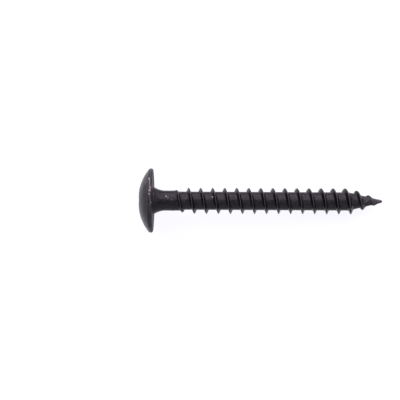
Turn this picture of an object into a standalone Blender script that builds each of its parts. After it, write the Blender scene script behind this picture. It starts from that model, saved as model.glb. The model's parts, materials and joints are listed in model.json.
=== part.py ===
"""Hinge screw: a wood screw with a wide domed head, a six-lobe recess and a flared neck.

The screw is one forging. It is modelled upright along its own Z axis, with the bearing face under
the head at z = 0 and the point downwards, and is then laid down as it rests on a table: on the rim
of its head and on its thread. All sizes are in metres.
"""
import math

import bmesh
import bpy
from mathutils import Matrix, Vector
from mathutils.geometry import convex_hull_2d

# Head: a dome on a rim, flat underneath
HEAD_DIAMETER = 0.01410
DOME_TURN = math.radians(47)  # how far round its ellipse the dome's profile runs, 90 is a quarter
DOME_SLOPE = math.radians(40)  # how steeply the dome falls where the rim's rounding takes over
RIM_ROUND = 0.00055  # rounding between the dome and the rim
RIM_BAND = 0.00015  # straight part of the rim
RIM_EDGE = 0.00035  # rounding between the rim and the bearing face

# Neck and plain shank under the head
COLLAR_HEIGHT = 0.00025
NECK_FLARE = 0.00078  # how much wider the neck is than the shank where it meets the head
NECK_LENGTH = 0.00247
SHANK_DIAMETER = 0.00442
SHANK_LENGTH = 0.00164  # plain part, from the neck down to where the thread starts

# Thread: right-handed, single start
LENGTH = 0.0500  # from the bearing face to the point
THREAD_DIAMETER = 0.00572
ROOT_DIAMETER = 0.00401
PITCH = 0.002625
CREST_WIDTH = 0.00014
FLANK_ANGLE = math.radians(40)  # between the two flanks of a ridge
START_ANGLE = math.radians(195)  # where the thread starts round the axis
CREST_RUN_IN = 1.3  # turns that a ridge takes to reach its full height
ROOT_RUN_IN = 0.25  # turns that the groove takes to reach its full depth

# Point: the root and the crests run down on a cone each
POINT_ANGLE = math.radians(27)
CREST_POINT_ANGLE = math.radians(42)
TIP_DIAMETER = 0.00050

# Recess: six round lobes, with a round countersunk mouth that bevels the corners between them
LOBES = 6
RECESS_DEPTH = 0.00267  # from the crown that the dome would have
RECESS_CONE = 0.00030  # how much deeper the floor is in its middle
LOBE_OUTER_DIAMETER = 0.00560
LOBE_INNER_DIAMETER = 0.00395
LOBE_ROUND = 0.00046
MOUTH_DIAMETER = 0.00470
MOUTH_ANGLE = math.radians(110)

# Fineness
TURN_STEPS = 36  # round the axis
DOME_STEPS = 8
NECK_STEPS = 5
ROUND_STEPS = 3
LOBE_STEPS = 4  # along each arc of the recess
SHARP_ANGLE = math.radians(30)
WELD = 1e-6
STEP_SLACK = 0.001  # share of a step within which a point counts as on the step
CUTTER_REACH = 0.001  # how far a cutter stands out of the head

# Finish: black coating, satin
COAT_COLOUR = (0.018, 0.016, 0.019)
COAT_ROUGHNESS = 0.42
COAT_METALLIC = 0.30

head_radius = HEAD_DIAMETER / 2
shank_radius = SHANK_DIAMETER / 2
thread_radius = THREAD_DIAMETER / 2
root_radius = ROOT_DIAMETER / 2
tip_radius = TIP_DIAMETER / 2
neck_end = -(COLLAR_HEIGHT + NECK_LENGTH)
thread_start = neck_end - SHANK_LENGTH
ridge_half = CREST_WIDTH / 2 + (thread_radius - root_radius) * math.tan(FLANK_ANGLE / 2)

# the dome is part of an ellipse that runs into the rim's rounding without a kink
rim_height = RIM_EDGE + RIM_BAND
dome_edge = head_radius - RIM_ROUND * (1 - math.sin(DOME_SLOPE))
dome_foot = rim_height + RIM_ROUND * math.cos(DOME_SLOPE)
dome_width = dome_edge / math.sin(DOME_TURN)
dome_depth = dome_width * math.tan(DOME_SLOPE) / math.tan(DOME_TURN)
head_height = dome_foot + dome_depth * (1 - math.cos(DOME_TURN))


def clear_scene():
    for obj in list(bpy.data.objects):
        bpy.data.objects.remove(obj, do_unlink=True)


def collection(name):
    group = bpy.data.collections.new(name)
    bpy.context.scene.collection.children.link(group)
    return group


def arc(centre, radius, start, end, steps):
    """Points (r, z) on an arc round a centre, with angles in radians from the +r direction."""
    for step in range(steps + 1):
        angle = start + (end - start) * step / steps
        yield centre[0] + radius * math.cos(angle), centre[1] + radius * math.sin(angle)


def head_profile():
    """Outline (r, z) of the head and neck, from the crown of the dome to the top of the shank."""
    points = []
    for step in range(DOME_STEPS):
        turn = DOME_TURN * step / DOME_STEPS
        drop = dome_depth * (1 - math.cos(turn))
        points.append((dome_width * math.sin(turn), head_height - drop))
    quarter = math.pi / 2
    round_centre = (head_radius - RIM_ROUND, rim_height)
    edge_centre = (head_radius - RIM_EDGE, RIM_EDGE)
    points += arc(round_centre, RIM_ROUND, quarter - DOME_SLOPE, 0, ROUND_STEPS)
    points += arc(edge_centre, RIM_EDGE, 0, -quarter, ROUND_STEPS)
    points.append((shank_radius + NECK_FLARE, 0))
    neck_radius = (NECK_LENGTH**2 + NECK_FLARE**2) / (2 * NECK_FLARE)
    neck_centre = (shank_radius + neck_radius, neck_end)
    opening = math.asin(min(1, NECK_LENGTH / neck_radius))
    points += arc(neck_centre, neck_radius, math.pi - opening, math.pi, NECK_STEPS)
    return points


def start_line(bm, points):
    """An upright line of edges through points (r, z), at the thread's starting angle."""
    across = Vector((math.cos(START_ANGLE), math.sin(START_ANGLE), 0))
    verts = [bm.verts.new(across * r + Vector((0, 0, z))) for r, z in points]
    edges = [bm.edges.new(pair) for pair in zip(verts, verts[1:])]
    return verts + edges


def turn_head(bm):
    """The head and neck, open below, where their last ring of points meets the shank's first."""
    line = start_line(bm, head_profile())
    bmesh.ops.spin(
        bm,
        geom=line,
        cent=(0, 0, 0),
        axis=(0, 0, -1),
        angle=math.tau,
        steps=TURN_STEPS,
        use_merge=True,
    )
    bmesh.ops.remove_doubles(bm, verts=bm.verts, dist=WELD)


def wind_shank(bm):
    """A plain tube under the neck, with edges along the thread's crests and feet to come."""
    turns_above = math.ceil(SHANK_LENGTH / PITCH) + 1
    turns_below = math.ceil((LENGTH + thread_start) / PITCH) + 1
    top = thread_start + turns_above * PITCH
    offsets = (ridge_half, CREST_WIDTH / 2, -CREST_WIDTH / 2, -ridge_half, ridge_half - PITCH)
    line = start_line(bm, [(shank_radius, top + offset) for offset in offsets])
    steps = TURN_STEPS * (turns_above + turns_below)
    bmesh.ops.spin(
        bm,
        geom=line,
        cent=(0, 0, 0),
        axis=(0, 0, -1),
        dvec=(0, 0, -PITCH / TURN_STEPS),
        angle=math.tau * (turns_above + turns_below),
        steps=steps,
    )
    bmesh.ops.remove_doubles(bm, verts=bm.verts, dist=WELD)


def trim_shank(bm):
    """Cut the tube square at the neck and at the point, and close it there."""
    everything = bm.verts[:] + bm.edges[:] + bm.faces[:]
    bmesh.ops.bisect_plane(
        bm,
        geom=everything,
        dist=WELD / 10,
        plane_co=(0, 0, neck_end),
        plane_no=(0, 0, 1),
        clear_outer=True,
    )
    everything = bm.verts[:] + bm.edges[:] + bm.faces[:]
    cut = bmesh.ops.bisect_plane(
        bm,
        geom=everything,
        dist=WELD / 10,
        plane_co=(0, 0, -LENGTH),
        plane_no=(0, 0, -1),
        clear_outer=True,
    )
    rim = [edge for edge in cut["geom_cut"] if isinstance(edge, bmesh.types.BMEdge)]
    bmesh.ops.contextual_create(bm, geom=rim)

    # at the neck only the corners of the tube stay, so that they meet those of the neck
    step = math.tau / TURN_STEPS
    between = []
    for vert in bm.verts:
        steps_on = (math.atan2(vert.co.y, vert.co.x) - START_ANGLE) / step
        if abs(vert.co.z - neck_end) < WELD and abs(steps_on - round(steps_on)) > STEP_SLACK:
            between.append(vert)
    bmesh.ops.dissolve_verts(bm, verts=between)


def root_at(run, z):
    """Radius of the groove's floor where its ridge has run for some turns, at height z."""
    cone = tip_radius + (LENGTH + z) * math.tan(POINT_ANGLE / 2)
    cut = min(1, max(0, run / ROOT_RUN_IN))
    return min(cone, shank_radius + (root_radius - shank_radius) * cut)


def crest_at(run, z):
    """Radius of the ridge's crest where it has run for some turns, at height z."""
    cone = tip_radius + (LENGTH + z) * math.tan(CREST_POINT_ANGLE / 2)
    risen = min(1, max(0, run / CREST_RUN_IN))
    return min(cone, shank_radius + (thread_radius - shank_radius) * risen)


def raise_thread(bm):
    """Move each point of the tube out to a crest or in to a root."""
    nearest_is_crest = (ridge_half + CREST_WIDTH / 2) / 2
    for vert in bm.verts:
        angle = math.atan2(vert.co.y, vert.co.x)
        lead = (START_ANGLE - angle) % math.tau / math.tau
        turns = (thread_start - vert.co.z) / PITCH - lead
        ridge = round(turns)
        below_crest = (turns - ridge) * PITCH
        run = ridge + lead
        if abs(below_crest) < nearest_is_crest:
            radius = crest_at(run, vert.co.z)
        else:
            radius = root_at(run if below_crest > 0 else run - 1, vert.co.z)
        vert.co.x = radius * math.cos(angle)
        vert.co.y = radius * math.sin(angle)


def resting_tilt(mesh):
    """How far the axis leans from level when the rim of the head and the thread lie on a table."""
    side = [Vector((-vert.co.z, vert.co.x)) for vert in mesh.vertices]
    hull = [side[index] for index in convex_hull_2d(side)]
    edges = [b - a for a, b in zip(hull, hull[1:] + hull[:1])]
    below = max((edge for edge in edges if edge.x > 0), key=lambda edge: edge.length)
    return math.atan2(below.y, below.x)


def coating():
    material = bpy.data.materials.new("black_coated_steel")
    material.use_nodes = True
    shader = material.node_tree.nodes["Principled BSDF"]
    shader.inputs["Base Color"].default_value = (*COAT_COLOUR, 1)
    shader.inputs["Roughness"].default_value = COAT_ROUGHNESS
    shader.inputs["Metallic"].default_value = COAT_METALLIC
    return material


def new_object(name, bm, group):
    mesh = bpy.data.meshes.new(name)
    bmesh.ops.recalc_face_normals(bm, faces=bm.faces)
    bm.to_mesh(mesh)
    bm.free()
    obj = bpy.data.objects.new(name, mesh)
    group.objects.link(obj)
    return obj


def make_screw(group):
    bm = bmesh.new()
    wind_shank(bm)
    trim_shank(bm)
    raise_thread(bm)
    turn_head(bm)
    return new_object("hinge_screw", bm, group)


def lobe_outline():
    """Outline of the recess: round lobes joined by hollow arcs that touch them without a kink."""
    half_step = math.pi / LOBES
    lobe_centre = LOBE_OUTER_DIAMETER / 2 - LOBE_ROUND
    inner = LOBE_INNER_DIAMETER / 2
    lean = lobe_centre * math.cos(half_step)
    hollow = (LOBE_ROUND**2 - lobe_centre**2 - inner**2 + 2 * inner * lean) / (
        2 * (inner - lean - LOBE_ROUND)
    )
    hollow_centre = inner + hollow
    meet = math.atan2(
        hollow_centre * math.sin(half_step), hollow_centre * math.cos(half_step) - lobe_centre
    )
    spread = meet - half_step
    points = []
    for lobe in range(LOBES):
        turn = 2 * half_step * lobe
        centre = Vector((lobe_centre * math.cos(turn), lobe_centre * math.sin(turn)))
        points += arc(centre, LOBE_ROUND, turn - meet, turn + meet, 2 * LOBE_STEPS)
        turn += half_step
        centre = Vector((hollow_centre * math.cos(turn), hollow_centre * math.sin(turn)))
        inward = turn + math.pi
        hollow_arc = list(arc(centre, hollow, inward + spread, inward - spread, LOBE_STEPS))
        points += hollow_arc[1:-1]
    return points


def make_recess(group):
    """The punch that forms the lobes, with a shallow cone for its end."""
    bm = bmesh.new()
    top = head_height + CUTTER_REACH
    outline = [bm.verts.new((x, y, top)) for x, y in lobe_outline()]
    cap = bm.faces.new(outline)
    wall = bmesh.ops.extrude_face_region(bm, geom=[cap], use_keep_orig=True)
    floor = [item for item in wall["geom"] if isinstance(item, bmesh.types.BMFace)]
    corners = [item for item in wall["geom"] if isinstance(item, bmesh.types.BMVert)]
    bmesh.ops.translate(bm, verts=corners, vec=(0, 0, -CUTTER_REACH - RECESS_DEPTH))
    middle = bmesh.ops.poke(bm, faces=floor)["verts"]
    bmesh.ops.translate(bm, verts=middle, vec=(0, 0, -RECESS_CONE))
    return new_object("recess_cutter", bm, group)


def make_mouth(group):
    """A cone with its apex downwards, as wide as the mouth where it leaves the dome."""
    mouth_radius = MOUTH_DIAMETER / 2
    dome_drop = dome_depth * (1 - math.sqrt(max(0, 1 - (mouth_radius / dome_width) ** 2)))
    slope = math.tan(MOUTH_ANGLE / 2)
    apex = head_height - dome_drop - mouth_radius / slope
    top = head_height + CUTTER_REACH
    bm = bmesh.new()
    bmesh.ops.create_cone(
        bm,
        cap_ends=True,
        segments=TURN_STEPS,
        radius1=0,
        radius2=(top - apex) * slope,
        depth=top - apex,
        matrix=Matrix.Translation((0, 0, (top + apex) / 2)),
    )
    return new_object("mouth_cutter", bm, group)


def cut_with(obj, cutter):
    cutter.parent = obj
    cutter.hide_render = True
    cutter.display_type = "WIRE"
    cut = obj.modifiers.new(cutter.name, "BOOLEAN")
    cut.operation = "DIFFERENCE"
    cut.solver = "EXACT"
    cut.object = cutter


def lay_down(obj):
    """Lay the screw on the table along X, point towards +X, centred over the origin."""
    lean = resting_tilt(obj.data)
    turned = Matrix.Rotation(lean - math.pi / 2, 4, "Y")
    corners = [turned @ vert.co for vert in obj.data.vertices]
    low = [min(corner[axis] for corner in corners) for axis in range(3)]
    high = [max(corner[axis] for corner in corners) for axis in range(3)]
    middle = Vector(((low[0] + high[0]) / 2, (low[1] + high[1]) / 2, low[2]))
    obj.matrix_world = Matrix.Translation(-middle) @ turned
    return lean


def build():
    clear_scene()
    parts = collection("hinge_screw_parts")
    cutters = collection("cutters")
    screw = make_screw(parts)
    screw.data.materials.append(coating())
    screw.data.shade_smooth()
    screw.data.set_sharp_from_angle(angle=SHARP_ANGLE)
    cut_with(screw, make_recess(cutters))
    cut_with(screw, make_mouth(cutters))
    lean = lay_down(screw)
    print(f"hinge_screw rests with its axis {math.degrees(lean):.2f} degrees from level")


build()
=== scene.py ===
# %% [markdown]
# # A hinge screw
#
# The real screw starts as a piece of round wire. One end is struck into a wide domed head, a punch
# presses the six-lobed recess into it, and the other end is rolled between two dies that squeeze
# the thread up out of the wire. Last of all a whole basket of screws gets a thin black coat.
#
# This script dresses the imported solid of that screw. The solid holds the sizes and the place. It is
# made of flats, so here the same screw is wound again with a finer mesh, with the small roundings
# that striking and rolling leave behind, and with a real finish.

import json
import math

import bmesh
import bpy
from mathutils import Matrix, Vector


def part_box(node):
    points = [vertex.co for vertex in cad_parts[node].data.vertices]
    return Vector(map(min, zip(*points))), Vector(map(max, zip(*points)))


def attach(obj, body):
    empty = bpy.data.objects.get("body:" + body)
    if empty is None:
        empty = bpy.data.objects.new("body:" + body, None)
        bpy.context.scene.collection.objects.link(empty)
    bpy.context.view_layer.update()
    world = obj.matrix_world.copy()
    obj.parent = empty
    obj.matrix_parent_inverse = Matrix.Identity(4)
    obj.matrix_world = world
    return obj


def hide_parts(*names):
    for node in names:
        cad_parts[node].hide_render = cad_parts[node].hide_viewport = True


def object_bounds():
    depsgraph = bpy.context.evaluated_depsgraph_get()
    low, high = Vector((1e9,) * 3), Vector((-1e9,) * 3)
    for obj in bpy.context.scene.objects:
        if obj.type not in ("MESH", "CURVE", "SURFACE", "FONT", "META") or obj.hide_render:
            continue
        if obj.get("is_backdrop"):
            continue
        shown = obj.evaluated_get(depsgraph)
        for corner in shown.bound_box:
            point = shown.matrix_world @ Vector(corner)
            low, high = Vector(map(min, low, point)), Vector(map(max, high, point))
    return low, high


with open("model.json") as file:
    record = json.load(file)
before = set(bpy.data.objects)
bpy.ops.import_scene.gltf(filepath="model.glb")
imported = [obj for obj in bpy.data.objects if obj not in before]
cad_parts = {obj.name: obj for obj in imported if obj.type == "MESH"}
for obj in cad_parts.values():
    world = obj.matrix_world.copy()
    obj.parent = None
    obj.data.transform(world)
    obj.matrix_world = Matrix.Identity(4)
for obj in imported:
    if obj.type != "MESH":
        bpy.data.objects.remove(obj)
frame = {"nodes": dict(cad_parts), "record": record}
cad_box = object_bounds()
print("packed nodes:", sorted(frame["nodes"]))

# %% [markdown]
# ## Where the screw lies
#
# The screw lies on a table, on the rim of its head and on its thread, so its axis falls a little
# towards the point. We could measure that slope on the mesh, but the record already holds it: its
# one mount is a point on the flat ring under the head, with the direction that the ring faces. That
# direction runs along the axis to the point. The screw is easiest to model upright, with the
# ring at z = 0 and the point downwards, and one matrix then lays it down.

# %% Read the place from the record
MM = 0.001
MOUNT_FROM_AXIS = 4.8 * MM  # the record's point on the ring lies this far above the axis

mount = frame["record"]["mounts"][0]
to_point = Vector(mount["axis"]).normalized()
across = Vector((0, 1, 0))
upwards = across.cross(-to_point)
ring_centre = Vector(mount["pos_m"]) - MOUNT_FROM_AXIS * upwards
turned = Matrix((upwards, across, -to_point)).transposed().to_4x4()
laid_down = Matrix.Translation(ring_centre) @ turned
slope = math.degrees(math.asin(-to_point.z))
print(f"the axis falls {slope:.2f} degrees towards the point")

# %% [markdown]
# ## Sizes
#
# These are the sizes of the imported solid, in metres. Its round parts have 36 flats, and the screw
# rests on the middle of such a flat. A smooth screw that rests in the same place is as big as the
# circle inside those flats, so each radius is brought in by the cosine of half a flat.

# %% The sizes of the screw
FLATS = 36
inside_flats = math.cos(math.pi / FLATS)
FINE_GAP = 0.004 * MM  # keeps the smooth head just inside the solid's box

low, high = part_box("hinge_screw")
head_radius = (high.y - low.y) / 2 - FINE_GAP
DOME_TURN = math.radians(47)  # how far round its ellipse the dome runs, where 90 is a quarter
DOME_SLOPE = math.radians(40)  # how steeply the dome falls where the rim's rounding takes over
RIM_ROUND = 0.55 * MM  # the rounding over the rim
RIM_BAND = 0.15 * MM  # the plain band round the rim
RIM_EDGE = 0.35 * MM  # the rounding under the rim

COLLAR_HEIGHT = 0.25 * MM  # the straight collar between the flat ring and the neck's hollow
NECK_FLARE = 0.78 * MM  # how far that collar stands out from the shank
NECK_LENGTH = 2.47 * MM
shank_radius = 2.21 * MM * inside_flats
SHANK_LENGTH = 1.64 * MM

LENGTH = 50.0 * MM  # from the ring under the head to the point
PITCH = 2.625 * MM
thread_radius = 2.86 * MM * inside_flats
root_radius = 2.005 * MM * inside_flats

neck_end = -(COLLAR_HEIGHT + NECK_LENGTH)
thread_start = neck_end - SHANK_LENGTH
rim_height = RIM_EDGE + RIM_BAND
dome_edge = head_radius - RIM_ROUND * (1 - math.sin(DOME_SLOPE))
dome_foot = rim_height + RIM_ROUND * math.cos(DOME_SLOPE)
dome_width = dome_edge / math.sin(DOME_TURN)
dome_depth = dome_width * math.tan(DOME_SLOPE) / math.tan(DOME_TURN)
head_height = dome_foot + dome_depth * (1 - math.cos(DOME_TURN))
print(f"head {head_radius * 2 / MM:.2f} mm wide, thread {thread_radius * 2 / MM:.2f} mm")

# %% [markdown]
# ## The shank as a wound tube
#
# A thread is a helix, and Blender's spin can sweep one: it turns an upright line of edges round the
# axis and lets it sink by a step each time. One line that is exactly one pitch long, swept through
# one turn, meets its own next turn, so copies of that turn, each one pitch lower, weld into a
# closed tube whose mesh lines run along the thread. We could spin all the turns at once, but spin
# gets slow with thousands of steps. At this stage it is still a plain tube. The line has many
# points where the ridge will stand and only a few where the groove's floor will be.

# %% Wind the tube
TURN_STEPS = 120  # round the axis
START_ANGLE = math.radians(195)  # where the thread starts round the axis
CREST_HALF = 0.09 * MM  # a little more than on the solid, because its edges get rounded
FLANK_ANGLE = math.radians(40)  # between the two flanks of a ridge
RIDGE_STEPS = 10  # from a crest down to its foot
FLOOR_STEPS = 7  # across the floor of the groove
FOOT_SPREAD = 1.4  # the rounded foot reaches this much further than the flank
WELD = 0.001 * MM

ridge_half = CREST_HALF + (thread_radius - root_radius) * math.tan(FLANK_ANGLE / 2)
ridge_reach = ridge_half * FOOT_SPREAD


def line_at_start(bm, points):
    """An upright line of edges through points (radius, height), where the thread starts."""
    out = Vector((math.cos(START_ANGLE), math.sin(START_ANGLE), 0))
    verts = [bm.verts.new(out * radius + Vector((0, 0, z))) for radius, z in points]
    edges = [bm.edges.new(pair) for pair in zip(verts, verts[1:])]
    return verts + edges


def one_pitch():
    """Heights down one pitch, from the upper foot of a ridge to that of the next ridge."""
    for step in range(RIDGE_STEPS, -RIDGE_STEPS - 1, -1):
        yield ridge_reach * step / RIDGE_STEPS
    floor_width = PITCH - 2 * ridge_reach
    for step in range(1, FLOOR_STEPS + 1):
        yield -ridge_reach - floor_width * step / FLOOR_STEPS


def wind_tube(bm):
    """One turn is spun, and its copies one pitch apart carry on the helix."""
    turns_above = math.ceil(SHANK_LENGTH / PITCH) + 1
    turns_below = math.ceil((LENGTH + thread_start) / PITCH) + 1
    top = thread_start + turns_above * PITCH
    line = line_at_start(bm, [(shank_radius, top + drop) for drop in one_pitch()])
    bmesh.ops.spin(
        bm,
        geom=line,
        cent=(0, 0, 0),
        axis=(0, 0, -1),
        dvec=(0, 0, -PITCH / TURN_STEPS),
        angle=math.tau,
        steps=TURN_STEPS,
    )
    first_turn = bm.verts[:] + bm.edges[:] + bm.faces[:]
    for turn in range(1, turns_above + turns_below):
        copy = bmesh.ops.duplicate(bm, geom=first_turn)["geom"]
        verts = [item for item in copy if isinstance(item, bmesh.types.BMVert)]
        bmesh.ops.translate(bm, verts=verts, vec=(0, 0, -PITCH * turn))
    bmesh.ops.remove_doubles(bm, verts=bm.verts, dist=WELD)


shank = bmesh.new()
wind_tube(shank)
print("wound tube:", len(shank.faces), "faces")

# %% [markdown]
# ## Cutting the tube to length
#
# The tube is wound too long at both ends, because its ends are slanted steps. Two cuts with
# bisect_plane make them square: one where the neck will join, one at the point. A few more cuts
# just above the point only add rings, which the rounding of the tip needs. The ring at the neck
# must have the same corners as the neck that is spun later, so the points in between are
# dissolved.

# %% Cut the tube square
TIP_RINGS = (0.04 * MM, 0.10 * MM, 0.18 * MM)  # heights above the point
ON_STEP = 0.001  # share of a step within which a point counts as being on it


def cut_across(bm, height, away=0):
    """Cut at a height. away is 1 to drop what is above, -1 to drop what is below, 0 to keep all."""
    cut = bmesh.ops.bisect_plane(
        bm,
        geom=bm.verts[:] + bm.edges[:] + bm.faces[:],
        dist=WELD / 10,
        plane_co=(0, 0, height),
        plane_no=(0, 0, away or 1),
        clear_outer=away != 0,
    )
    return [item for item in cut["geom_cut"] if isinstance(item, bmesh.types.BMEdge)]


def close_point(bm, rim):
    """Fill the last ring with a fan of triangles."""
    cap = bmesh.ops.contextual_create(bm, geom=rim)["faces"]
    bmesh.ops.poke(bm, faces=cap)


def leave_corners(bm):
    step = math.tau / TURN_STEPS
    between = []
    for vert in bm.verts:
        steps_on = (math.atan2(vert.co.y, vert.co.x) - START_ANGLE) / step
        if abs(vert.co.z - neck_end) < WELD and abs(steps_on - round(steps_on)) > ON_STEP:
            between.append(vert)
    bmesh.ops.dissolve_verts(bm, verts=between)


cut_across(shank, neck_end, away=1)
close_point(shank, cut_across(shank, -LENGTH, away=-1))
for ring in TIP_RINGS:
    cut_across(shank, -LENGTH + ring)
leave_corners(shank)
print("cut tube:", len(shank.faces), "faces")

# %% [markdown]
# ## The ridge in section
#
# Rolling neither adds nor takes away steel: it presses a groove in, and the steel beside it rises
# as a ridge. Cut across, that ridge has a narrow crest, two straight flanks and a foot. A rolling
# die can't fill a sharp corner, so its edges are round. We could bevel them later, but the ridge
# fades out at both ends and a bevel would not. So the section is a formula here, in which a soft
# minimum and a soft maximum round the corners.

# %% The section of the ridge
CREST_SOFT = 0.30  # shares of the ridge's height over which its corners are rounded
FOOT_SOFT = 0.40


def soft_min(a, b, reach):
    """The smaller of two values, with the corner between them rounded over a reach."""
    overlap = max(reach - abs(a - b), 0) / reach
    return min(a, b) - overlap * overlap * reach / 4


def soft_max(a, b, reach):
    return -soft_min(-a, -b, reach)


def ridge_share(distance):
    """How far up the ridge a point is: 1 on the crest, 0 on the floor of the groove."""
    flank = (ridge_half - abs(distance)) / (ridge_half - CREST_HALF)
    return soft_max(soft_min(flank, 1, CREST_SOFT), 0, FOOT_SOFT)


print(f"ridge {CREST_HALF * 2 / MM:.2f} mm wide on top and {ridge_half * 2 / MM:.2f} at its foot")

# %% [markdown]
# ## Where the thread starts and ends
#
# The dies close on the wire little by little. At the start the ridge rises slowly and the groove
# deepens fast. At the point the groove and the ridge each run down on a cone of their own, so the
# last ridges are low, and they are wider too.

# %% The start and the point
CREST_RUN_IN = 1.3  # turns that the ridge takes to reach its full height
ROOT_RUN_IN = 0.25  # turns that the groove takes to reach its full depth
POINT_ANGLE = math.radians(27)  # of the cone that the groove runs down on
CREST_POINT_ANGLE = math.radians(42)  # of the cone that the ridge runs down on
CONE_SOFT = 0.10 * MM  # rounds where a cone meets the plain thread
TIP_RADIUS = 0.25 * MM
TIP_ROUND = 0.26 * MM  # the length over which the tip is rounded off
TIP_FLAT = 0.02 * MM  # keeps a little flat on the tip for its last ring
WIDE_AT_POINT = 0.7  # how much wider the low ridges at the point are
WIDE_LENGTH = 7.0 * MM  # from the point to where they are halfway back to the usual width
WIDE_FADE = 4  # the higher, the quicker the change round that place


def cone_at(height, angle):
    return TIP_RADIUS + (LENGTH + height) * math.tan(angle / 2)


def root_at(run, height):
    """Radius of the groove's floor where its ridge has run for some turns."""
    cut = min(1, max(0, run / ROOT_RUN_IN))
    pressed = shank_radius + (root_radius - shank_radius) * cut
    return soft_min(cone_at(height, POINT_ANGLE), pressed, CONE_SOFT)


def crest_at(run, height):
    """Radius of the ridge's crest where it has run for some turns."""
    risen = min(1, max(0, run / CREST_RUN_IN))
    raised = shank_radius + (thread_radius - shank_radius) * risen
    return soft_min(cone_at(height, CREST_POINT_ANGLE), raised, CONE_SOFT)


def tip_share(height):
    """Narrows the last part of the point to a round end."""
    up = min(1, (LENGTH + height + TIP_FLAT) / TIP_ROUND)
    return math.sqrt(1 - (1 - up) ** 2)


def widening(height):
    """How much wider than usual a ridge is at a height."""
    return 1 + WIDE_AT_POINT / (1 + ((LENGTH + height) / WIDE_LENGTH) ** WIDE_FADE)


cone_length = (root_radius - TIP_RADIUS) / math.tan(POINT_ANGLE / 2)
print(f"the core narrows over the last {cone_length / MM:.1f} mm")

# %% [markdown]
# ## Raising the thread
#
# Now each point of the tube moves in or out. It knows how far it is from the nearest crest line and
# how many turns that ridge has run, and these two give its radius: out to the crest, down a flank,
# round the foot or along the groove.

# %% Press the groove and raise the ridge
LIP = 0.03 * MM  # the small swelling that rolling leaves where the groove begins
LIP_WIDTH = 0.35 * MM


def place_on_thread(point):
    """The ridge's turns so far and the distance below its crest, for a point of the tube."""
    angle = math.atan2(point.y, point.x)
    lead = (START_ANGLE - angle) % math.tau / math.tau
    turns = (thread_start - point.z) / PITCH - lead
    ridge = round(turns)
    return ridge + lead, (turns - ridge) * PITCH


def thread_radius_at(point):
    run, below_crest = place_on_thread(point)
    floor = root_at(run if below_crest > 0 else run - 1, point.z)
    crest = crest_at(run, point.z)
    lip = LIP * math.exp(-(((point.z - thread_start) / LIP_WIDTH) ** 2))
    radius = floor + (crest - floor) * ridge_share(below_crest / widening(point.z))
    return (radius + lip * (run < CREST_RUN_IN)) * tip_share(point.z)


def raise_thread(bm):
    for vert in bm.verts:
        flat = Vector((vert.co.x, vert.co.y, 0))
        if flat.length > WELD:
            flat = flat.normalized() * thread_radius_at(vert.co)
        vert.co = flat + Vector((0, 0, vert.co.z))


raise_thread(shank)
widest = max(math.hypot(vert.co.x, vert.co.y) for vert in shank.verts)
print(f"thread raised to {widest * 2 / MM:.2f} mm across")

# %% [markdown]
# ## The head, spun in one go
#
# The head, its recess and the neck are all round at first, so they share one outline: from the
# middle of the recess up its wall, over the dome, round the rim, along the flat ring and down the
# hollow curve of the neck. One full spin makes the whole forging, with no seam between its parts.
#
# The recess comes first. It is still a plain round hole here, and its lobes are pressed later. Its
# mouth is countersunk a little: there the cone lies below the dome, and the lower of the two is the
# surface.

# %% The outline of the recess
RECESS_DEPTH = 2.67 * MM  # from the crown that the dome would have
RECESS_CONE = 0.30 * MM  # the punch's end leaves the floor this much deeper in its middle
MOUTH_RADIUS = 2.35 * MM
MOUTH_ANGLE = math.radians(110)
MOUTH_SOFT = 0.06 * MM  # rounds the edge between the mouth and the dome
BORE_RADIUS = 2.30 * MM  # of the round hole, before it gets its lobes
SPREAD_RADIUS = 3.10 * MM  # the lobes move the dome's rings up to here
FLOOR_ROUND = 0.14 * MM
CORNER_RINGS = 3  # round a tight inside corner
FLOOR_RINGS = 7
WALL_RINGS = 7
MOUTH_RINGS = 9

recess_floor = head_height - RECESS_DEPTH


def arc(centre, radius, start, end, steps):
    """Points (radius, height) on an arc, with angles in degrees from the outward direction."""
    for step in range(steps + 1):
        angle = math.radians(start + (end - start) * step / steps)
        yield centre[0] + radius * math.cos(angle), centre[1] + radius * math.sin(angle)


def dome_at(radius):
    return head_height - dome_depth * (1 - math.sqrt(1 - (radius / dome_width) ** 2))


def crown_at(radius):
    """Height of the head's top at a radius: of the countersunk mouth or of the dome."""
    cone = dome_at(MOUTH_RADIUS) - (MOUTH_RADIUS - radius) / math.tan(MOUTH_ANGLE / 2)
    return soft_min(cone, dome_at(radius), MOUTH_SOFT)


def recess_outline():
    """From the middle of the floor up the wall and over the mouth to the plain dome."""
    for ring in range(FLOOR_RINGS):
        share = ring / FLOOR_RINGS
        yield (BORE_RADIUS - FLOOR_ROUND) * share, recess_floor - RECESS_CONE * (1 - share)
    corner = (BORE_RADIUS - FLOOR_ROUND, recess_floor + FLOOR_ROUND)
    yield from arc(corner, FLOOR_ROUND, -90, 0, CORNER_RINGS)
    wall_foot = recess_floor + FLOOR_ROUND
    wall_height = crown_at(BORE_RADIUS) - wall_foot
    for ring in range(1, WALL_RINGS + 1):
        yield BORE_RADIUS, wall_foot + wall_height * ring / WALL_RINGS
    for ring in range(1, MOUTH_RINGS):
        radius = BORE_RADIUS + (SPREAD_RADIUS - BORE_RADIUS) * ring / MOUTH_RINGS
        yield radius, crown_at(radius)


mouth_height = crown_at(SPREAD_RADIUS)
print(f"recess {(mouth_height - recess_floor) / MM:.2f} mm deep below the dome beside it")

# %% [markdown]
# ## Dome, rim, ring and neck
#
# The dome is the top of an ellipse. Two roundings with a plain band between them make the rim, the
# ring under it is flat, and the neck is a hollow arc that meets the shank without a corner. Each
# part yields its points in turn, and the spin sweeps them all at once.

# %% Spin the head and the neck
COLLAR_ROUND = 0.10 * MM
DOME_RINGS = 24
ROUND_RINGS = 7
RING_RINGS = 5
NECK_RINGS = 14


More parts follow.
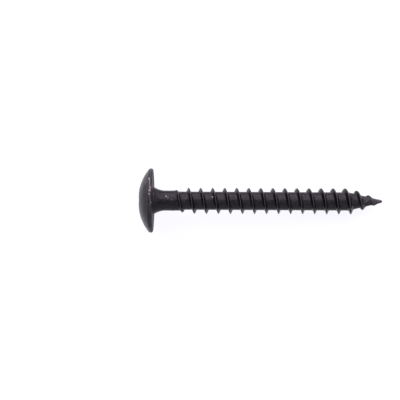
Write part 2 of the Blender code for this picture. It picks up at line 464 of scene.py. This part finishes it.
def head_outline():
    """Over the dome and the rim, and along the flat ring to the foot of the neck."""
    spread_turn = math.asin(SPREAD_RADIUS / dome_width)
    for ring in range(DOME_RINGS):
        turn = spread_turn + (DOME_TURN - spread_turn) * ring / DOME_RINGS
        yield dome_width * math.sin(turn), head_height - dome_depth * (1 - math.cos(turn))
    rim_start = 90 - math.degrees(DOME_SLOPE)
    yield from arc((head_radius - RIM_ROUND, rim_height), RIM_ROUND, rim_start, 0, ROUND_RINGS)
    yield from arc((head_radius - RIM_EDGE, RIM_EDGE), RIM_EDGE, 0, -90, ROUND_RINGS)
    collar = shank_radius + NECK_FLARE + COLLAR_ROUND
    ring_width = head_radius - RIM_EDGE - collar
    for ring in range(1, RING_RINGS):
        yield head_radius - RIM_EDGE - ring_width * ring / RING_RINGS, 0


def neck_outline():
    """The inside corner at the flat ring, then the hollow curve down to the shank."""
    corner = (shank_radius + NECK_FLARE + COLLAR_ROUND, -COLLAR_ROUND)
    yield from arc(corner, COLLAR_ROUND, 90, 180, CORNER_RINGS)
    radius = (NECK_LENGTH**2 + NECK_FLARE**2) / (2 * NECK_FLARE)
    opening = math.degrees(math.asin(NECK_LENGTH / radius))
    centre = (shank_radius + radius, neck_end)
    yield from arc(centre, radius, 180 - opening, 180, NECK_RINGS)


def spin_head(bm):
    outline = [*recess_outline(), *head_outline(), *neck_outline()]
    bmesh.ops.spin(
        bm,
        geom=line_at_start(bm, outline),
        cent=(0, 0, 0),
        axis=(0, 0, -1),
        angle=math.tau,
        steps=TURN_STEPS,
        use_merge=True,
    )
    bmesh.ops.remove_doubles(bm, verts=bm.verts, dist=WELD)


head = bmesh.new()
spin_head(head)
print("head and neck:", len(head.faces), "faces")

# %% [markdown]
# ## The outline of the six lobes
#
# The outline of the recess is six round lobes joined by six hollow arcs that touch them. Seen from
# the middle, each direction meets the outline once, so it can be written as a radius for an angle.
# The lobes' size and the width between them are known, and the hollow arcs follow from both.

# %% Work out the lobes
LOBES = 6
LOBE_ROUND = 0.46 * MM
LOBE_OUTER = 2.80 * MM * inside_flats  # from the axis to the end of a lobe
LOBE_INNER = 1.975 * MM * inside_flats  # from the axis to the middle of a hollow arc

half_lobe = math.pi / LOBES  # half the angle that a lobe takes
lobe_centre = LOBE_OUTER - LOBE_ROUND
lobe_lean = lobe_centre * math.cos(half_lobe)
hollow_round = (LOBE_ROUND**2 - lobe_centre**2 - LOBE_INNER**2 + 2 * LOBE_INNER * lobe_lean) / (
    2 * (LOBE_INNER - lobe_lean - LOBE_ROUND)
)
hollow_centre = LOBE_INNER + hollow_round
touch_turn = math.atan2(
    hollow_centre * math.sin(half_lobe), hollow_centre * math.cos(half_lobe) - lobe_centre
)
touch_angle = math.atan2(
    LOBE_ROUND * math.sin(touch_turn), lobe_centre + LOBE_ROUND * math.cos(touch_turn)
)


def lobe_radius(angle):
    """Radius of the recess's outline in a direction."""
    from_lobe = abs((angle + half_lobe) % (2 * half_lobe) - half_lobe)
    if from_lobe < touch_angle:
        side = lobe_centre * math.sin(from_lobe)
        return lobe_centre * math.cos(from_lobe) + math.sqrt(LOBE_ROUND**2 - side**2)
    side = hollow_centre * math.sin(half_lobe - from_lobe)
    return hollow_centre * math.cos(half_lobe - from_lobe) - math.sqrt(hollow_round**2 - side**2)


print(f"recess {LOBE_OUTER * 2 / MM:.2f} mm over its lobes, {LOBE_INNER * 2 / MM:.2f} between")

# %% [markdown]
# ## Pressing the lobes
#
# The round hole's points are pushed out or in to that outline. The lobes reach past the countersunk
# mouth into the dome, and the corners between them stand inside it and get its bevel. The wall ends
# lower there, which gives the scalloped edge that a real recess has. A boolean cut could do this
# too, but it leaves thin slivers of faces that shade badly.

# %% Press the lobes


def press_point(point):
    """Where a point of the round hole or of its mouth goes when the lobes are pressed."""
    radius = math.hypot(point.x, point.y)
    outline = lobe_radius(math.atan2(point.y, point.x))
    wall_top = crown_at(BORE_RADIUS)
    if radius > BORE_RADIUS + WELD:
        share = (radius - BORE_RADIUS) / (SPREAD_RADIUS - BORE_RADIUS)
        pressed = outline + (SPREAD_RADIUS - outline) * share
        height = crown_at(pressed)
    else:
        from_middle = (radius / BORE_RADIUS) ** 2
        pressed = radius * (1 + (outline / BORE_RADIUS - 1) * from_middle)
        up_wall = max(0, point.z - recess_floor) / (wall_top - recess_floor)
        height = point.z + (crown_at(outline) - wall_top) * up_wall
    scale = pressed / radius
    return Vector((point.x * scale, point.y * scale, height))


def press_lobes(bm):
    """Move the points of the recess and of its mouth, and count them."""
    pressed = 0
    for vert in bm.verts:
        radius = math.hypot(vert.co.x, vert.co.y)
        above_floor = vert.co.z > recess_floor - RECESS_CONE - WELD
        if above_floor and WELD < radius < SPREAD_RADIUS - WELD:
            vert.co = press_point(vert.co)
            pressed += 1
    return pressed


print(press_lobes(head), "points pressed")

# %% [markdown]
# ## Joining head and shank
#
# The head and the shank are one piece of steel. A bmesh can take in the mesh of another, and then
# the two rings at the neck's end, which have the same corners, are welded.

# %% Join and weld


def take_in(bm, other):
    """Add the other bmesh's faces to this one."""
    carrier = bpy.data.meshes.new("carrier")
    other.to_mesh(carrier)
    other.free()
    bm.from_mesh(carrier)
    bpy.data.meshes.remove(carrier)


screw = bmesh.new()
take_in(screw, shank)
take_in(screw, head)
bmesh.ops.remove_doubles(screw, verts=screw.verts, dist=WELD)
bmesh.ops.recalc_face_normals(screw, faces=screw.faces)
open_edges = sum(not edge.is_manifold for edge in screw.edges)
print(f"screw: {len(screw.faces)} faces, {open_edges} open edges")

# %% [markdown]
# ## Knocks, worn edges and painted light
#
# Screws are coated, poured and packed by the thousand, and they knock on each other. What stands
# out is hit most: the rim, the edge of the recess, the crests and the point. We could paint such
# wear on an image, but here each point of the mesh keeps four numbers that the material reads: how
# exposed it is, which on the crests is partly a painted highlight, how deep in a single nick, how
# much painted shade it gets, and how dull it is.
#
# A nick is a real dent too: a smooth push inwards over a fraction of a millimetre. Most sit on the
# rim, and those on its upper side are partly knocks and partly a painted highlight. Two dents on
# the shank have no bare spot and get painted shade. A scuff is wider and has no dent, and the grain
# of the coat breaks it into specks.

# %% List the nicks and the scuffs
# each nick: distance from the ring under the head towards the point and angle round the axis from
# the top, then its half length along and round the screw, its depth, and how bare it is
NICKS_AND_RIM_GLINTS = (
    # the first four, on the rim's upper side, are partly knocks and partly painted highlight specks
    (-0.64 * MM, 42, 0.13 * MM, 0.32 * MM, 0.020 * MM, 1.0),
    (-0.52 * MM, 25, 0.12 * MM, 0.24 * MM, 0.015 * MM, 0.8),
    (-0.50 * MM, 19, 0.13 * MM, 0.28 * MM, 0.020 * MM, 0.9),
    (-0.56 * MM, 12, 0.12 * MM, 0.26 * MM, 0.015 * MM, 0.8),
    (-0.12 * MM, -3, 0.10 * MM, 0.60 * MM, 0.010 * MM, 0.6),
    (-2.30 * MM, 38, 0.14 * MM, 0.16 * MM, 0.010 * MM, 0.5),
    (2.90 * MM, 27, 0.16 * MM, 0.20 * MM, 0.030 * MM, 0.9),
    (3.12 * MM, 22, 0.12 * MM, 0.12 * MM, 0.025 * MM, 0.7),
    (3.15 * MM, -3, 0.24 * MM, 0.22 * MM, 0.070 * MM, 0.0),
    (3.95 * MM, -4, 0.18 * MM, 0.24 * MM, 0.060 * MM, 0.0),
    (4.10 * MM, 3, 0.08 * MM, 0.40 * MM, 0.020 * MM, 0.6),
    (12.95 * MM, 26, 0.15 * MM, 0.17 * MM, 0.030 * MM, 0.65),
    (43.30 * MM, -35, 0.14 * MM, 0.14 * MM, 0.025 * MM, 0.8),
)

# each scuff, with no dent: its place, half length and half width as above, and how bare it is
SCUFFS_AND_RIM_HIGHLIGHT = (
    # the first two, on the rim's upper side, are partly scuffs and partly a painted highlight
    (-0.50 * MM, 31, 0.16 * MM, 2.4 * MM, 0.56),
    (-0.26 * MM, 19, 0.13 * MM, 1.5 * MM, 0.54),
    (-0.22 * MM, -2, 0.12 * MM, 1.8 * MM, 0.48),
    (-0.70 * MM, -60, 0.40 * MM, 1.8 * MM, 0.44),
    (-1.30 * MM, 40, 0.50 * MM, 1.4 * MM, 0.40),
    (3.30 * MM, 16, 0.50 * MM, 0.5 * MM, 0.35),
    (13.00 * MM, 24, 0.50 * MM, 0.4 * MM, 0.41),
    (46.20 * MM, 5, 0.80 * MM, 1.2 * MM, 0.38),
)

print(len(NICKS_AND_RIM_GLINTS), "nicks and", len(SCUFFS_AND_RIM_HIGHLIGHT), "scuffs")

# %% [markdown]
# ## How worn each point is, with painted highlight and shade
#
# Each exposed edge is at a known place. A point's distance from it goes through a bell curve, so
# that the wear fades to both sides. Along the crests this lighter line is partly a painted
# highlight. The thread's flanks get painted shade, which leaves them the blackest. The heading die
# leaves the flat ring under the head rough, and so dull.

# %% The wear at a point
SHOULDER_WORN = 0.25  # where the dome turns into the rim
RIM_WORN_WIDTH = 0.22 * MM
MOUTH_WORN = 0.45
MOUTH_WORN_WIDTH = 0.12 * MM
FLOOR_PALE = 0.35  # the current hardly reaches into the recess, and its floor gets a thin film
# the crests' lighter line: partly rubbed coat, partly a painted highlight
CREST_WEAR_AND_HIGHLIGHT = 0.34
CREST_LINE_WIDTH = 0.08 * MM
POINT_WORN = 0.4
POINT_WORN_LENGTH = 2.5 * MM
FLANK_SHADE_AT = 0.6  # distance from a crest line to where the painted shade is darkest, in half widths of a ridge
FLANK_SHADE_SPREAD = 0.5

def bell(distance, width):
    return math.exp(-((distance / width) ** 2))


def in_recess(point):
    return point.z > 0 and math.hypot(point.x, point.y) < SPREAD_RADIUS


def wear_and_highlight_at(point):
    """How exposed a point is to knocks, from 0 to 1, before any single nick; on the crests partly a
    painted highlight.
    """
    radius = math.hypot(point.x, point.y)
    worn_and_highlit = POINT_WORN * bell(LENGTH + point.z, POINT_WORN_LENGTH)
    shoulder = math.hypot(radius - dome_edge, point.z - dome_foot)
    lower_edge = math.hypot(radius - head_radius, point.z - RIM_EDGE)
    worn_and_highlit += SHOULDER_WORN * bell(min(shoulder, lower_edge), RIM_WORN_WIDTH)
    if in_recess(point):
        outline = lobe_radius(math.atan2(point.y, point.x))
        from_edge = math.hypot(radius - outline, point.z - crown_at(outline))
        worn_and_highlit += MOUTH_WORN * bell(from_edge, MOUTH_WORN_WIDTH)
        worn_and_highlit += FLOOR_PALE * (point.z < recess_floor + WELD)
    if point.z < thread_start:
        run, below_crest = place_on_thread(point)
        # a lighter line on each crest, partly a painted highlight
        worn_and_highlit += CREST_WEAR_AND_HIGHLIGHT * min(1, max(0, run)) * bell(below_crest, CREST_LINE_WIDTH)
    return min(1, worn_and_highlit)


def painted_shade_at(point):
    """How much painted shade a point gets: it darkens the flanks and their feet."""
    if point.z > thread_start:
        return 0
    run, below_crest = place_on_thread(point)
    on_flank = bell(abs(below_crest) - ridge_half * FLANK_SHADE_AT, ridge_half * FLANK_SHADE_SPREAD)
    return min(1, max(0, run)) * on_flank


def dulled_at(point):
    """1 on the flat ring under the head, and less and less round the rim."""
    on_ring = math.hypot(point.x, point.y) > shank_radius + NECK_FLARE
    return on_ring * bell(point.z, RIM_EDGE)


print(f"wear where the dome meets the rim: {wear_and_highlight_at(Vector((dome_edge, 0, dome_foot))):.2f}")

# %% [markdown]
# ## Knocking the screw
#
# One pass over the mesh writes the four numbers of each point and pushes the nicks in along the
# surface's own normal. A bmesh keeps such numbers in layers, and the material finds them later by
# their names.

# %% Mark what is worn and dent what is nicked
MARKS = ("worn_and_highlit", "nicked_and_highlit", "painted_shade", "dulled")


def share_of(point, along, turn, half_length, half_width):
    """How far inside a nick or a scuff a point is, from 0 to 1."""
    radius = math.hypot(point.x, point.y)
    angle = math.atan2(point.y, point.x) - math.radians(turn)
    if in_recess(point) or math.cos(angle) < 0:
        return 0
    return bell(-point.z - along, half_length) * bell(radius * math.sin(angle), half_width)


def knock(bm):
    worn_and_highlit, nicked_and_highlit, painted_shade, dulled = [bm.verts.layers.float.new(name) for name in MARKS]
    for vert in bm.verts:
        point = vert.co.copy()
        vert[worn_and_highlit] = wear_and_highlight_at(point)
        vert[painted_shade] = painted_shade_at(point)
        vert[dulled] = dulled_at(point)
        # on the rim's upper side these pale specks are partly a painted highlight
        for *spot, depth, bare in NICKS_AND_RIM_GLINTS:
            share = share_of(point, *spot)
            vert[nicked_and_highlit] = max(vert[nicked_and_highlit], share * bare)
            # a nick with no bare spot gets painted shade in its dent
            vert[painted_shade] = max(vert[painted_shade], share * (not bare))
            vert.co -= vert.normal * share * depth
        for *spot, bare in SCUFFS_AND_RIM_HIGHLIGHT:
            vert[nicked_and_highlit] = max(vert[nicked_and_highlit], share_of(point, *spot) * bare)


knock(screw)
print(len(screw.verts), "points marked as", *MARKS)

# %% [markdown]
# ## Making it one object
#
# The finished mesh is laid down by changing its points, so that its object stays at the origin and
# the patterns of the finish stay where they are when the object is moved later. Smooth shading
# suits a forging, and only the edges that are sharper than the set angle stay crisp.

# %% Lay the screw down and make its object
CRISP_ANGLE = math.radians(50)

bmesh.ops.transform(screw, matrix=laid_down, verts=screw.verts)
screw_mesh = bpy.data.meshes.new("coated_screw")
screw.to_mesh(screw_mesh)
screw.free()
screw_mesh.shade_smooth()
screw_mesh.set_sharp_from_angle(angle=CRISP_ANGLE)
coated_screw = bpy.data.objects.new("coated_screw", screw_mesh)
bpy.context.scene.collection.objects.link(coated_screw)
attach(coated_screw, "root")
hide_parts("hinge_screw")
screw_mesh.calc_loop_triangles()
print("coated_screw:", len(screw_mesh.loop_triangles), "triangles")

# %% [markdown]
# ## Colours and nodes
#
# A colour is easiest to write as the hex value that the eye sees on a screen. Blender works with
# linear light, so one function turns the one into the other. A second small function adds a node,
# with its settings and its links, and everything below uses it.

# %% Two helpers for materials


def linear(hex_colour):
    """An sRGB hex colour as the linear colour that Blender works with."""
    shares = [int(hex_colour[start : start + 2], 16) / 255 for start in (1, 3, 5)]
    bright = [c / 12.92 if c <= 0.04045 else ((c + 0.055) / 1.055) ** 2.4 for c in shares]
    return (*bright, 1)


def add_node(tree, kind, values=None, **settings):
    """Add a node. settings are its properties, and values its inputs: plain values or sockets."""
    node = tree.nodes.new(kind)
    for name, value in settings.items():
        setattr(node, name, value)
    for name, value in (values or {}).items():
        if isinstance(value, bpy.types.NodeSocket):
            tree.links.new(value, node.inputs[name])
        else:
            node.inputs[name].default_value = value
    return node


MIDDLE_GREY = "#808080"
print(f"{MIDDLE_GREY} reflects {linear(MIDDLE_GREY)[0]:.0%} of the light")

# %% [markdown]
# ## Black electrocoat
#
# Electrocoat is a thin epoxy paint. The screws hang or tumble in a bath, and a current draws the
# paint on, 20 thousandths of a millimetre thick, over a grey layer of zinc phosphate. It is black
# with a hint of violet, satin, and never quite even: the phosphate crystals under it give a fine
# grain, and where the film is thicker it is darker. Rubbed edges turn grey and knocked spots are
# pale, because the scuffed film and the phosphate scatter light. The grey of the crests and the
# pale specks on the rim's upper side are also partly a painted highlight, and the thread's flanks
# get painted shade.
#
# Noise textures make that unevenness. An image of a coat could too, but a noise has a real size in
# millimetres and no seam. The grain is drawn at 0.2 mm, several times coarser than the real
# crystals, because a finer one would not show at all in a picture of the whole screw.

# %% The coat's noises, and the marks from the mesh
# each noise: its size, how many finer noises lie over it, and how strong each of those is
NOISES = {
    "grain": (0.20 * MM, 3.0, 0.6),
    "cloud": (1.6 * MM, 4.0, 0.6),
    "mottle": (0.5 * MM, 3.0, 0.6),
    "chips": (0.28 * MM, 2.0, 0.5),
}

coat = bpy.data.materials.new("black_electrocoat")
coat.use_nodes = True
tree = coat.node_tree
place = add_node(tree, "ShaderNodeTexCoord").outputs["Object"]
noise = {}
for name, (size, detail, strength) in NOISES.items():
    values = {"Vector": place, "Scale": 1 / size, "Detail": detail, "Roughness": strength}
    noise[name] = add_node(tree, "ShaderNodeTexNoise", values).outputs["Fac"]
mark = {}
for name in MARKS:
    mark[name] = add_node(tree, "ShaderNodeAttribute", attribute_name=name).outputs["Fac"]
print("noises:", *noise)

# %% [markdown]
# ## Where the pale layer shows
#
# An exposed edge isn't scuffed all over but in specks. So a mark only pushes a noise up, and where
# the sum passes a threshold, the pale layer shows. Edges use the noise for chips, and nicks the
# finer grain.

# %% Specks on edges and in nicks
# each kind: its mark, how far a full mark pushes its noise up, that noise, and the two sums at
# which the speck starts and is full
SPECKS = (
    ("worn_and_highlit", 0.34, "chips", 0.81, 0.93),
    ("nicked_and_highlit", 0.75, "grain", 0.80, 1.00),
)

specks = []
for name, push, pattern, start, full in SPECKS:
    values = {0: mark[name], 1: push, 2: noise[pattern]}
    pushed = add_node(tree, "ShaderNodeMath", values, operation="MULTIPLY_ADD").outputs[0]
    values = {"Value": pushed, "From Min": start, "From Max": full}
    ramp = add_node(tree, "ShaderNodeMapRange", values, interpolation_type="SMOOTHSTEP")
    specks.append(ramp.outputs["Result"])
values = {0: specks[0], 1: specks[1]}
pale = add_node(tree, "ShaderNodeMath", values, operation="MAXIMUM").outputs[0]
print(len(specks), "kinds of speck")

# %% [markdown]
# ## The coat's colours
#
# Two noises, a wide and a small one, mix the full and the thin film. The marks then lay the painted
# shade of the flanks, the rubbed edges and the pale specks over it, one after the other, as a
# painter would. On the crests and on the rim's upper side, the grey and the pale specks are partly
# a painted highlight.

# %% Lay the colours over each other
COAT_BLACK = "#0d0b0e"
COAT_THIN = "#27232a"
# painted shade on the thread's flanks and in two dents
PAINTED_SHADE_BLACK = "#0a090b"
# grey of rubbed edges, and on the crests partly a painted highlight
RUBBED_AND_HIGHLIGHT_GREY = "#646066"
# pale specks of bare coat, and on the rim's upper side partly a painted highlight
PALE_SPECK_AND_HIGHLIGHT = "#b8abb2"
FILM_FULL = 0.80  # sums of the two noises: below the first the film is full, and above the
FILM_THIN = 1.20  # second it is thin

values = {0: noise["cloud"], 1: noise["mottle"]}
uneven = add_node(tree, "ShaderNodeMath", values, operation="ADD").outputs[0]
values = {"Value": uneven, "From Min": FILM_FULL, "From Max": FILM_THIN}
thin = add_node(tree, "ShaderNodeMapRange", values).outputs["Result"]
layers = (
    (thin, COAT_THIN),
    (mark["painted_shade"], PAINTED_SHADE_BLACK),
    (mark["worn_and_highlit"], RUBBED_AND_HIGHLIGHT_GREY),
    (pale, PALE_SPECK_AND_HIGHLIGHT),
)
colour = linear(COAT_BLACK)
for share, over in layers:
    values = {"Factor": share, "A": colour, "B": linear(over)}
    colour = add_node(tree, "ShaderNodeMix", values, data_type="RGBA").outputs["Result"]
print(len(layers), "layers over", COAT_BLACK)

# %% [markdown]
# ## Satin sheen and grain
#
# Roughness spreads what a surface mirrors: at 0 it is a mirror, and at about 0.3 it is satin. The
# wide noise varies it a little, and the ring under the head is rougher. Bump tilts the light as
# hills of a hundredth of a millimetre would, which is too small to be worth any faces.

# %% Make the coat satin
SHEEN = 0.15  # a fine-grained, slightly porous film mirrors less than the 0.5 of a smooth lacquer
SHEEN_TINT = "#f6f0fa"
SMOOTHEST = 0.25
ROUGHEST = 0.33
CLOUD_LOW = 0.3  # nearly all of the wide noise lies between these two
CLOUD_HIGH = 0.7
DULL_ROUGHER = 0.25
CLOUD_HEIGHT = 0.012 * MM
GRAIN_HEIGHT = 0.010 * MM

values = {"Value": noise["cloud"], "From Min": CLOUD_LOW, "From Max": CLOUD_HIGH}
values |= {"To Min": SMOOTHEST, "To Max": ROUGHEST}
satin = add_node(tree, "ShaderNodeMapRange", values).outputs["Result"]
values = {0: mark["dulled"], 1: DULL_ROUGHER, 2: satin}
rough = add_node(tree, "ShaderNodeMath", values, operation="MULTIPLY_ADD").outputs[0]
values = {"Distance": CLOUD_HEIGHT, "Height": noise["cloud"]}
clouded = add_node(tree, "ShaderNodeBump", values).outputs["Normal"]
values = {"Distance": GRAIN_HEIGHT, "Height": noise["grain"], "Normal": clouded}
grained = add_node(tree, "ShaderNodeBump", values).outputs["Normal"]

shader = tree.nodes["Principled BSDF"]
shader.inputs["Specular IOR Level"].default_value = SHEEN
shader.inputs["Specular Tint"].default_value = linear(SHEEN_TINT)
tree.links.new(colour, shader.inputs["Base Color"])
tree.links.new(rough, shader.inputs["Roughness"])
tree.links.new(grained, shader.inputs["Normal"])
coated_screw.data.materials.append(coat)
print("finish:", coat.name)

# %% [markdown]
# ## The table
#
# Small dark goods are often shown on a light table: a sheet of opal glass that is lit from below
# and looks white. If the table really lit the scene, the screw's underside would turn grey, so
# this one glows only for the camera and for reflections, which Light Path tells apart. The glass
# itself is a plain matt grey, and the lamps still leave a soft shadow on it.

# %% The table and its material
TABLE_WIDTH = 6.0
TABLE_OPAL = "#6c6c6c"
TABLE_MATT = 0.9  # its roughness
TABLE_GLOW = 0.96  # just short of white, which is 1, because the lamps add the rest
GLOW_TINT = "#f8f8ff"


def seen_or_mirrored(tree):
    """1 for the rays of the camera and of reflections, and 0 for the rays that light a surface."""
    path = add_node(tree, "ShaderNodeLightPath").outputs
    seen = path["Is Camera Ray"]
    for ray in ("Is Glossy Ray", "Is Transmission Ray"):
        maths = {0: seen, 1: path[ray]}
        seen = add_node(tree, "ShaderNodeMath", maths, operation="MAXIMUM").outputs[0]
    return seen


def opal_glass():
    """Matt opal glass that glows as if lit from below."""
    material = bpy.data.materials.new("opal_glass")
    material.use_nodes = True
    nodes = material.node_tree
    glass = nodes.nodes["Principled BSDF"]
    glass.inputs["Base Color"].default_value = linear(TABLE_OPAL)
    glass.inputs["Roughness"].default_value = TABLE_MATT
    glass.inputs["Specular IOR Level"].default_value = 0.0
    shine = {0: seen_or_mirrored(nodes), 1: TABLE_GLOW}
    strength = add_node(nodes, "ShaderNodeMath", shine, operation="MULTIPLY").outputs[0]
    shine = {"Color": linear(GLOW_TINT), "Strength": strength}
    glow = add_node(nodes, "ShaderNodeEmission", shine).outputs[0]
    both = add_node(nodes, "ShaderNodeAddShader", {0: glass.outputs[0], 1: glow}).outputs[0]
    nodes.links.new(both, nodes.nodes["Material Output"].inputs["Surface"])
    return material


table_bm = bmesh.new()
bmesh.ops.create_grid(table_bm, x_segments=1, y_segments=1, size=TABLE_WIDTH / 2)
table_mesh = bpy.data.meshes.new("table")
table_bm.to_mesh(table_mesh)
table_bm.free()
table = bpy.data.objects.new("table", table_mesh)
bpy.context.scene.collection.objects.link(table)
table.data.materials.append(opal_glass())
table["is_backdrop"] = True
print(f"table {TABLE_WIDTH} m wide")

# %% [markdown]
# ## Light
#
# A black satin part is seen by what it mirrors, so the light is shaped rather than strong. One wide
# soft box leans over the far side of the screw. It makes the far half of the shank grey and leaves
# the near half nearly black, with a border along the middle. A weak, low box on the near side lifts
# the near edge a little, so that it doesn't sink into black. A small box beyond the point lights
# the flanks that face it. The world gives the even rest: a grey that lights, and a white that is
# only seen and mirrored, with the same test as the table's glow.

# %% Lamps and world
WORLD_GREY = "#807e88"
WORLD_WHITE = "#fafaff"  # as the far end of the table, so that no horizon shows
BOX_DISTANCE = 0.9

scene = bpy.context.scene
middle = (cad_box[0] + cad_box[1]) / 2


def soft_box(name, direction, width, depth, level, tint):
    """A rectangular lamp whose face shines at a level, where 1 is as bright as a white table."""
    lamp = bpy.data.lights.new(name, "AREA")
    lamp.shape = "RECTANGLE"
    lamp.size = width
    lamp.size_y = depth
    lamp.energy = level * math.pi * width * depth
    lamp.color = linear(tint)[:3]
    box = bpy.data.objects.new(name, lamp)
    towards = Vector(direction).normalized()
    box.location = middle + towards * BOX_DISTANCE
    box.rotation_euler = towards.to_track_quat("Z", "Y").to_euler()
    scene.collection.objects.link(box)


soft_box("far_box", (0.0, 0.80, 0.60), width=1.6, depth=1.35, level=3.3, tint="#fff7fa")
soft_box("near_box", (0.0, -0.95, 0.31), width=1.2, depth=0.4, level=0.7, tint="#f4f4ff")
soft_box("point_box", (1.0, 0.1, 0.45), width=0.4, depth=0.4, level=1.5, tint="#ffffff")

world = bpy.data.worlds.new("studio")
scene.world = world
world.use_nodes = True
sky = world.node_tree
colours = {"Factor": seen_or_mirrored(sky), "A": linear(WORLD_GREY), "B": linear(WORLD_WHITE)}
sky_colour = add_node(sky, "ShaderNodeMix", colours, data_type="RGBA").outputs["Result"]
sky.links.new(sky_colour, sky.nodes["Background"].inputs["Color"])
scene.view_settings.view_transform = "Standard"

# %% [markdown]
# ## Camera
#
# The camera looks square down on the axis from only 0.2 m away. So near, it sees a little of the
# flat ring under the head, and of the broad flanks that face it on the last turns of the thread. A
# far camera with a long lens would hide both. The picture's scale at the axis gives the lens. The
# axis runs a hair downwards to the right in the picture, so the camera is rolled by as much.

# %% The camera
PICTURE_WIDTH = 400  # pixels
PIXELS_PER_MM = 4.58
RING_AT = 153.05  # pixel column of the ring under the head
AXIS_AT = 200.74  # pixel row of the axis in the middle column
ROLL = math.radians(0.28)
DISTANCE = 0.20
SENSOR = 36.0  # millimetres, the width of a small-film picture

half_picture = PICTURE_WIDTH / 2
aim = ring_centre + to_point * (half_picture - RING_AT) / PIXELS_PER_MM * MM
aim += across * (AXIS_AT - half_picture) / PIXELS_PER_MM * MM
right = to_point * math.cos(ROLL) + across * math.sin(ROLL)
top = across * math.cos(ROLL) - to_point * math.sin(ROLL)

lens = bpy.data.cameras.new("camera")
lens.sensor_width = SENSOR
lens.lens = SENSOR * DISTANCE / (PICTURE_WIDTH / PIXELS_PER_MM * MM)
camera = bpy.data.objects.new("camera", lens)
camera.matrix_world = Matrix.Translation(aim + upwards * DISTANCE) @ (
    Matrix((right, top, upwards)).transposed().to_4x4()
)
scene.collection.objects.link(camera)
scene.camera = camera
print(f"lens {lens.lens:.0f} mm")

# %% [markdown]
#
# Last, both boxes are written down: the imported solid's and the dressed screw's. The second has to
# stay inside the first.

# %% Write the sizes and finish
new_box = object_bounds()
for name, corner in zip(("low", "high"), zip(cad_box, new_box)):
    print(name, [f"{(b - a) / MM:+.3f}" for a, b in zip(*corner)], "mm from the solid's corner")
